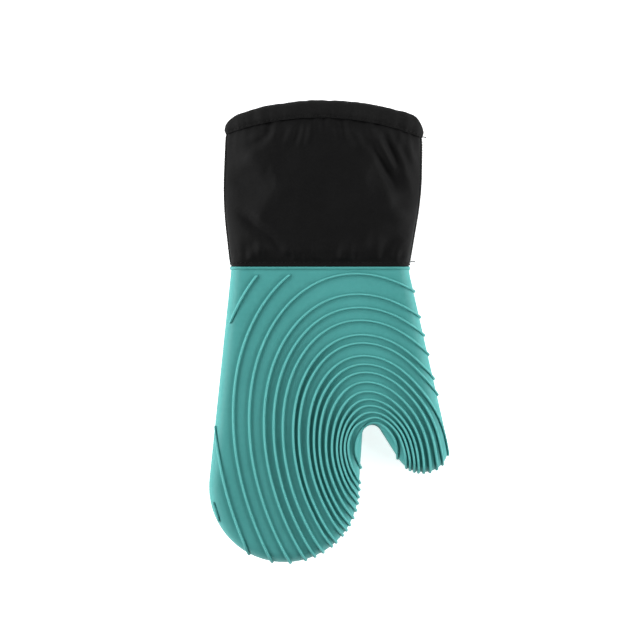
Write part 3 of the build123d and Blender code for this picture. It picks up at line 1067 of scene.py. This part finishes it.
HAND_LINER = (2.0, 5.2)  # insets of its outer and inner faces
HAND_LINER_END_Y = WRIST_Y - 0.6
HAND_LINER_SPACING = 3.0
HAND_LINER_CREASE = 50.0
PUFF_ZONE = 8.0  # no puffs at half height, full ones this far from it


def hand_liner():
    """The quilted bag inside the hand and the thumb."""
    bag = mitt_solid("hand_liner_bag", HAND_LINER[0], HAND_LINER_END_Y)
    inside = mitt_solid("inside", HAND_LINER[1], WRIST_Y + PAST_END, HAND_LINER_SPACING)
    for vertex in inside.data.vertices:
        x, y, z = vertex.co / MM
        puff = float(quilted((x + y) / QUILT, (x - y) / QUILT)) * QUILT_DEPTH
        inwards = np.clip((MID_Z - z) / PUFF_ZONE, -1, 1)
        vertex.co.z += puff * inwards * MM
    return smooth(boolean(bag, inside, "DIFFERENCE"), HAND_LINER_CREASE)


# Routes of the cut thread ends, with heights from the mitt's middle.
TAILS = [
    [(73.4, 155.4, 0), (74.8, 155.9, 0.3), (76.3, 156, 0.2), (77.6, 155.6, -0.3), (78.3, 154.8, -0.6)],
    [(65.3, 55.8, 0), (66.6, 56.5, 0.2), (67.9, 56.6, 0.4), (69, 56.1, 0.2), (69.5, 55.4, 0)],
]
TAIL_RADIUS = 0.42
TAIL_WIDTHS = (1,) * 19 + (0.95, 0.8, 0.45)


def thread_tails():
    """The cut ends of the side-seam threads."""
    points, faces = [], []
    for tail in TAILS:
        at = np.linspace(0, len(tail) - 1, len(TAIL_WIDTHS))
        path = np.stack([smooth_curve(range(len(tail)), axis, at) for axis in zip(*tail)], axis=1)
        path[:, 2] += MID_Z
        tube(path, TAIL_RADIUS * np.array(TAIL_WIDTHS), 10, points, faces)
    return smooth(new_object("thread_tail_ends", points, faces))


# ---- Materials ----
class Surface:
    """A material built from nodes around a Principled shader."""

    def __init__(self, name):
        self.material = bpy.data.materials.new(name)
        self.material.use_nodes = True
        self.tree = self.material.node_tree
        self.shader = self.tree.nodes["Principled BSDF"]

    def node(self, kind, inputs=(), **settings):
        """Adds a node. Inputs are (name or number, value or socket) pairs."""
        made = self.tree.nodes.new("ShaderNode" + kind)
        for key, value in settings.items():
            setattr(made, key, value)
        for key, value in inputs:
            self.feed(made.inputs[key], value)
        return made

    def feed(self, socket, value):
        """Sets an input, or links it."""
        if isinstance(value, bpy.types.NodeSocket):
            self.tree.links.new(value, socket)
        else:
            socket.default_value = value

    def set(self, **values):
        """Sets the shader's inputs, named with underscores."""
        for key, value in values.items():
            self.feed(self.shader.inputs[key.replace("_", " ")], value)

    def place(self):
        """The point's place, in metres."""
        return self.node("TexCoord").outputs["Object"]

    def cloth(self):
        """The point's place on the flat cloth, in metres."""
        return self.node("UVMap", uv_map="cloth").outputs["UV"]

    def noise(self, vector, scale, detail=2.0, roughness=0.5):
        """Noise of about the size 1 / scale, in metres."""
        made = self.node("TexNoise", (("Vector", vector), ("Scale", scale), ("Detail", detail),
                                      ("Roughness", roughness)))
        return made.outputs["Fac"]

    def bands(self, vector, period, direction):
        """Even ripples with a period in metres."""
        made = self.node("TexWave", (("Vector", vector), ("Scale", 2 * math.pi / 20 / period)),
                         wave_type="BANDS", bands_direction=direction, wave_profile="SIN")
        return made.outputs["Fac"]

    def maths(self, operation, first, second):
        """One operation on two numbers."""
        return self.node("Math", ((0, first), (1, second)), operation=operation).outputs[0]

    def spread(self, value, low, high, to_low, to_high):
        """A number moved from one range to another, and kept inside it."""
        made = self.node("MapRange", (("Value", value), ("From Min", low), ("From Max", high),
                                      ("To Min", to_low), ("To Max", to_high)))
        return made.outputs["Result"]

    def specks(self, vector, scale, size, most):
        """Round specks, one in each cell 1 / scale wide. Size is where a speck's edge begins and ends."""
        cells = self.node("TexVoronoi", (("Vector", vector), ("Scale", scale)), feature="F1")
        return self.spread(cells.outputs["Distance"], *size, most, 0.0)

    def blend(self, share, first, second):
        """A colour between two."""
        return self.node("Mix", ((0, share), (6, first), (7, second)), data_type="RGBA").outputs[2]

    def bump(self, height, depth, strength, onto=None):
        """Small relief with a depth in metres."""
        made = self.node("Bump", (("Height", height), ("Distance", depth), ("Strength", strength)))
        if onto is not None:
            self.feed(made.inputs["Normal"], onto)
        return made.outputs["Normal"]


def colour(red, green, blue):
    """A linear colour with no transparency."""
    return (red, green, blue, 1.0)


def grey(value, blue=None):
    """A linear grey, a little bluer where asked."""
    return colour(value, value, blue or value)


def silicone_material():
    """Satin moulded silicone: teal with a fine grain, faint clouding, lint, and a painted highlight on
    the rib crests.
    """
    look = Surface("moulded_silicone")
    place = look.place()
    clouds = look.spread(look.noise(place, 22.0, 3.0), 0.35, 0.65, 0.0, 1.0)
    tone = look.blend(clouds, colour(0.056, 0.275, 0.262), colour(0.064, 0.302, 0.288))
    mottle = look.spread(look.noise(place, 260.0, 3.0), 0.3, 0.7, 0.0, 0.35)
    tone = look.blend(mottle, tone, colour(0.075, 0.325, 0.31))
    tone = look.blend(look.specks(place, 90.0, (0.012, 0.03), 0.35), tone, colour(0.25, 0.42, 0.41))
    # Painted highlight: the higher a point stands out of the skin, towards the rib crests, the lighter
    # its colour.
    rise = look.node("Attribute", attribute_name="rise").outputs["Fac"]
    tone = look.blend(look.spread(rise, 1.3, 1.9, 0.0, 1.0), tone, colour(0.105, 0.42, 0.40))
    relief = look.bump(look.noise(place, 150.0, 2.0), 0.00025, 0.5)
    look.set(Base_Color=tone, Normal=look.bump(look.noise(place, 2600.0, 2.0), 0.00003, 0.6, relief),
             Roughness=look.spread(look.noise(place, 320.0, 3.0), 0.3, 0.7, 0.52, 0.62),
             IOR=1.42, Specular_IOR_Level=0.32, Subsurface_Weight=0.05, Subsurface_Scale=0.0015)
    look.shader.inputs["Subsurface Radius"].default_value = (0.5, 1.0, 0.95)
    return look.material


WORN = 1.5  # how much lighter cloth is where it is rubbed


def woven_material(name, dark, light, pitch, twill, rough, shine):
    """Woven cloth: warp and weft, or diagonal twill ribs, with uneven yarns and stray lint."""
    look = Surface(name)
    cloth = look.cloth()
    uneven = look.noise(cloth, 1.0 / (pitch * 6), 2.0)
    warp = look.bands(cloth, pitch, "X")
    weft = look.bands(cloth, pitch, "Y")
    diagonal = look.bands(cloth, pitch * 1.6, "DIAGONAL")
    plain = look.maths("MULTIPLY", warp, weft)
    weave = look.maths("ADD", look.maths("MULTIPLY", diagonal, twill),
                       look.maths("MULTIPLY", plain, 1 - twill))
    shade = look.maths("ADD", look.maths("MULTIPLY", weave, 0.6), look.maths("MULTIPLY", uneven, 0.5))
    tone = look.blend(look.spread(shade, 0.15, 0.95, 0.0, 1.0), dark, light)
    wear = look.spread(look.noise(cloth, 30.0, 4.0, 0.6), 0.45, 0.75, 0.0, 0.4)
    tone = look.blend(wear, tone, colour(*(c * WORN for c in light[:3])))
    tone = look.blend(look.specks(cloth, 42.0, (0.008, 0.018), 0.5), tone, grey(0.09))
    relief = look.bump(look.noise(cloth, 260.0, 3.0), 0.00035, 0.5)
    look.set(Base_Color=tone, Normal=look.bump(weave, pitch * 0.18, 0.7, relief), Roughness=rough,
             Specular_IOR_Level=shine)
    return look.material


def thread_material():
    """Twisted black polyester thread."""
    look = Surface("twisted_thread")
    place = look.place()
    twist = look.bands(place, 0.0005, "DIAGONAL")
    tone = look.blend(twist, grey(0.003), grey(0.007))
    look.set(Base_Color=tone, Normal=look.bump(twist, 0.00006, 0.8), Roughness=0.6,
             Specular_IOR_Level=0.12)
    return look.material


# ---- Stage ----
AMBIENT = 0.04
FLOOR_REACH = 4000.0
LENS = 225.0  # a long lens, so that the sides hardly show
CAMERA_PLACE = (-0.0068, 0.0096, MID_Z * MM + 3.2)
FLOOR_GLOW = 0.80  # the floor is a light table
# Name, place and size in metres, and watts. The low boxes on both sides draw out the ribs.
SOFT_BOXES = [
    ("left_soft_box", (-1.15, 0.15, 0.56), (1.8, 0.55), 28.5),
    ("right_soft_box", (1.15, 0.05, 0.52), (1.8, 0.55), 25.5),
    ("mouth_side_soft_box", (0.0, 1.0, 0.5), (0.9, 0.3), 2.2),
    ("finger_side_soft_box", (0.0, -0.9, 1.1), (1.4, 0.6), 0.5),
]


def stage():
    """Floor, soft boxes and camera."""
    corners = [(x * FLOOR_REACH, y * FLOOR_REACH, 0) for x, y in ((-1, -1), (1, -1), (1, 1), (-1, 1))]
    floor = new_object("floor", corners, [(0, 1, 2, 3)])
    look = Surface("floor")
    look.set(Base_Color=look.blend(look.noise(look.place(), 2.0), grey(0.90), grey(0.93)),
             Roughness=0.8, Emission_Color=grey(1.0), Emission_Strength=FLOOR_GLOW)
    floor.data.materials.append(look.material)

    world = bpy.data.worlds.new("studio")
    bpy.context.scene.world = world
    world.use_nodes = True
    background = world.node_tree.nodes["Background"].inputs
    background["Color"].default_value = grey(1.0)
    background["Strength"].default_value = AMBIENT
    for light in SOFT_BOXES:
        soft_box(*light)

    lens = bpy.data.cameras.new("camera")
    lens.sensor_width = 36.0
    lens.lens = LENS
    camera = bpy.data.objects.new("camera", lens)
    camera.location = CAMERA_PLACE
    bpy.context.scene.collection.objects.link(camera)
    bpy.context.scene.camera = camera
    bpy.context.scene.view_settings.view_transform = "Standard"


def soft_box(name, place, size, watts):
    """A rectangular area light that faces the middle of the mitt."""
    light = bpy.data.lights.new(name, "AREA")
    light.shape = "RECTANGLE"
    light.size, light.size_y = size
    light.energy = watts
    lamp = bpy.data.objects.new(name, light)
    lamp.location = place
    lamp.rotation_euler = (-Vector(place)).to_track_quat("-Z", "Y").to_euler()
    bpy.context.scene.collection.objects.link(lamp)


def dress(piece, material, nodes, body=None):
    """Gives a finished piece its material, hides the model's parts that it stands in for, and hangs it on
    the body that it follows.
    """
    piece.data.materials.clear()
    piece.data.materials.append(material)
    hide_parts(*nodes)
    if body:
        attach(piece, body)
    else:
        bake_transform(piece)


silicone = silicone_material()
cuff_cloth = woven_material("cuff_twill", grey(0.0018, 0.0019), grey(0.0042, 0.0043),
                            pitch=0.0004, twill=0.85, rough=0.70, shine=0.11)
binding_cloth = woven_material("binding_weave", grey(0.0042), grey(0.0085),
                               pitch=0.00045, twill=0.2, rough=0.75, shine=0.11)
lining_cloth = woven_material("lining_weave", grey(0.008, 0.0085), grey(0.015, 0.016),
                              pitch=0.0006, twill=0.0, rough=0.85, shine=0.12)
thread = thread_material()

dress(silicone_shell(), silicone, ("silicone_hand_shell", "silicone_thumb_shell"))
dress(hand_liner(), lining_cloth,
      [f"{part}_{layer}_{half}" for part in ("hand", "thumb") for layer in ("batting", "liner")
       for half in ("palm", "back")])

surface = cuff_surface()
facing = grid_normals(surface)
for half, cover in zip(("palm", "back"), cuff_covers(surface)):
    dress(cover, cuff_cloth, (f"cuff_panel_{half}", f"cuff_batting_{half}"))
dress(cuff_lining(), lining_cloth, ("cuff_lining_palm", "cuff_lining_back"))
strip, strip_face = mouth_binding()
dress(strip, binding_cloth, ("mouth_binding",), body="cuff")

stitch_row_number = np.abs(surface[:, :, 1].mean(axis=1) - WRIST_STITCH_Y).argmin()
dress(stitch_row("wrist_stitches", surface[stitch_row_number], facing[stitch_row_number]),
      thread, ("wrist_seam_stitching",))
strip_share, _ = binding_profile()
strip_row = np.abs(strip_share[:8] * BINDING_HEIGHT - BINDING_STITCH_INSET).argmin()
dress(stitch_row("binding_stitches", strip_face[strip_row], grid_normals(strip_face)[strip_row]),
      thread, ("binding_stitching",), body="cuff")
dress(side_seam("right_side_seam", surface, 0), thread, ("side_seam_right",))
dress(side_seam("left_side_seam", surface, surface.shape[1] // 2), thread, ("side_seam_left",))
dress(thread_tails(), thread, ("thread_tails",))

stage()
